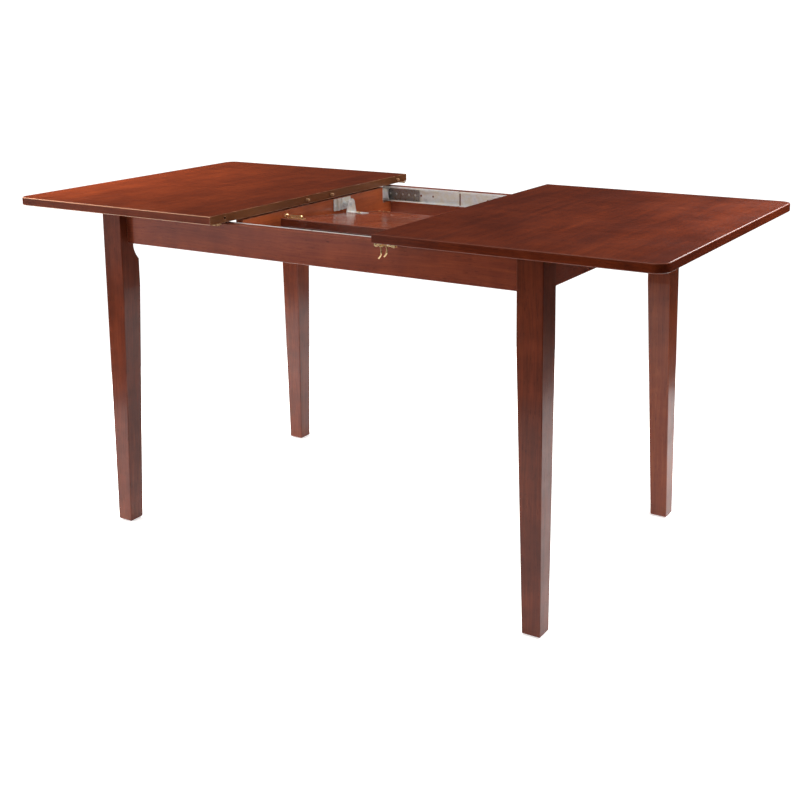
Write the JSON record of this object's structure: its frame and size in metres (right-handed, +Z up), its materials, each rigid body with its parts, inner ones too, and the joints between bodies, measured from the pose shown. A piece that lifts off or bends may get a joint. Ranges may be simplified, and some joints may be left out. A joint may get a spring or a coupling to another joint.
{
  "type": "extendable dining table",
  "caption": "Rectangular dining table with two sliding tops drawn apart over a folded butterfly leaf, on tapered square legs.",
  "frame": {"origin": "on the floor under the middle of the table", "axes": "+X along the table's length, towards the top that carries the catch arms; +Y to the rear, where the leaf's pivot is nearer; +Z up"},
  "size_m": [1.545, 0.75, 0.74],
  "materials": {
    "lacquered_panel_wood": "semi-gloss reddish walnut stain under clear lacquer, grain across the table",
    "lacquered_frame_wood": "semi-gloss reddish walnut stain, grain along the rail",
    "lacquered_leg_wood": "semi-gloss reddish walnut stain, grain along the leg",
    "bare_beech": "bare turned hardwood",
    "zinc_plated_steel": "bright zinc plate, drawn and lightly scuffed",
    "bearing_steel": "polished balls with a film of grease",
    "pale_brass": "pale brass plate, slightly dulled",
    "glide_plastic": "matt moulded"
  },
  "bodies": {
    "frame": {"front_left_leg": "lacquered_leg_wood", "front_right_leg": "lacquered_leg_wood", "rear_left_leg": "lacquered_leg_wood", "rear_right_leg": "lacquered_leg_wood", "leg_glides": "glide_plastic", "front_apron": "lacquered_frame_wood", "rear_apron": "lacquered_frame_wood", "left_end_apron": "lacquered_frame_wood", "right_end_apron": "lacquered_frame_wood", "left_cross_rail": "lacquered_frame_wood", "right_cross_rail": "lacquered_frame_wood", "corner_plates": "zinc_plated_steel", "corner_plate_screws": "zinc_plated_steel", "hanger_bolts": "zinc_plated_steel", "hanger_nuts": "zinc_plated_steel", "cross_rail_angles": "zinc_plated_steel", "cross_rail_screws": "zinc_plated_steel", "front_left_slide_channel": "zinc_plated_steel", "front_right_slide_channel": "zinc_plated_steel", "rear_left_slide_channel": "zinc_plated_steel", "rear_right_slide_channel": "zinc_plated_steel", "slide_screws": "zinc_plated_steel", "leaf_rest_batten": "lacquered_frame_wood", "pivot_brackets": "zinc_plated_steel", "pivot_bracket_screws": "zinc_plated_steel", "pivot_pins": "zinc_plated_steel"},
    "left_table_top": {"left_top": "lacquered_panel_wood", "left_top_dowels": "bare_beech", "left_top_screws": "zinc_plated_steel", "top_keepers": "pale_brass", "left_slide_brackets": "zinc_plated_steel", "front_left_slide_member": "zinc_plated_steel", "rear_left_slide_member": "zinc_plated_steel"},
    "right_table_top": {"right_top": "lacquered_panel_wood", "right_top_dowel": "bare_beech", "right_top_screws": "zinc_plated_steel", "top_catch_bases": "pale_brass", "right_slide_brackets": "zinc_plated_steel", "front_right_slide_member": "zinc_plated_steel", "rear_right_slide_member": "zinc_plated_steel"},
    "left_cages": {"left_ball_cages": "zinc_plated_steel", "left_bearing_balls": "bearing_steel"},
    "right_cages": {"right_ball_cages": "zinc_plated_steel", "right_bearing_balls": "bearing_steel"},
    "leaf": {"leaf_rear_half": "lacquered_panel_wood", "leaf_front_half": "lacquered_panel_wood", "leaf_hinges": "pale_brass", "leaf_hinge_pins": "pale_brass", "leaf_hinge_screws": "pale_brass", "leaf_screws": "zinc_plated_steel", "leaf_dowels": "bare_beech", "swing_plates": "zinc_plated_steel", "leaf_catch_plates": "pale_brass"},
    "rear_catch": {"rear_catch_arm": "pale_brass"},
    "front_catch": {"front_catch_arm": "pale_brass"},
    "rear_bail": {"rear_catch_bail": "pale_brass"},
    "front_bail": {"front_catch_bail": "pale_brass"},
    "leaf_rear_catch": {"leaf_rear_catch_arm": "pale_brass"},
    "leaf_front_catch": {"leaf_front_catch_arm": "pale_brass"}
  },
  "joints": [
    {"name": "left_top_slide", "type": "slide", "parent": "frame", "child": "left_table_top", "axis": [-1, 0, 0], "range_m": [-0.1973, 0]},
    {"name": "right_top_slide", "type": "slide", "parent": "frame", "child": "right_table_top", "axis": [1, 0, 0], "range_m": [-0.1973, 0]},
    {"name": "left_cage_slide", "type": "slide", "parent": "frame", "child": "left_cages", "axis": [-1, 0, 0], "range_m": [-0.09866, 0]},
    {"name": "right_cage_slide", "type": "slide", "parent": "frame", "child": "right_cages", "axis": [1, 0, 0], "range_m": [-0.09866, 0]},
    {"name": "leaf_pivot", "type": "hinge", "parent": "frame", "child": "leaf", "pos_m": [0, 0.1025, 0.702], "axis": [-1, 0, 0], "range_deg": [0, 174.3]},
    {"name": "rear_catch_swing", "type": "hinge", "parent": "right_table_top", "child": "rear_catch", "pos_m": [0.2355, 0.355, 0.7168], "axis": [0, -1, 0], "range_deg": [0, 8], "stiffness_Nm_per_rad": 0.02, "springref_deg": -20.05},
    {"name": "front_catch_swing", "type": "hinge", "parent": "right_table_top", "child": "front_catch", "pos_m": [0.2355, -0.355, 0.7168], "axis": [0, -1, 0], "range_deg": [0, 8], "stiffness_Nm_per_rad": 0.02, "springref_deg": -20.05},
    {"name": "rear_bail_swing", "type": "hinge", "parent": "rear_catch", "child": "rear_bail", "pos_m": [0.2095, 0.355, 0.7168], "axis": [0, 1, 0], "range_deg": [-50, 50]},
    {"name": "front_bail_swing", "type": "hinge", "parent": "front_catch", "child": "front_bail", "pos_m": [0.2095, -0.355, 0.7168], "axis": [0, 1, 0], "range_deg": [-50, 50]},
    {"name": "leaf_rear_catch_swing", "type": "hinge", "parent": "leaf", "child": "leaf_rear_catch", "pos_m": [-0.137, -0.15022, 0.71235], "axis": [0, 0.9951, -0.0993], "range_deg": [0, 8], "stiffness_Nm_per_rad": 0.02, "springref_deg": -20.05},
    {"name": "leaf_front_catch_swing", "type": "hinge", "parent": "leaf", "child": "leaf_front_catch", "pos_m": [-0.137, -0.15489, 0.66558], "axis": [0, -0.9951, 0.0993], "range_deg": [0, 8], "stiffness_Nm_per_rad": 0.02, "springref_deg": -20.05}
  ],
  "couplings": [
    {"joint": "left_cage_slide", "follows": "left_top_slide", "ratio": 0.5},
    {"joint": "right_cage_slide", "follows": "right_top_slide", "ratio": 0.5}
  ]
}
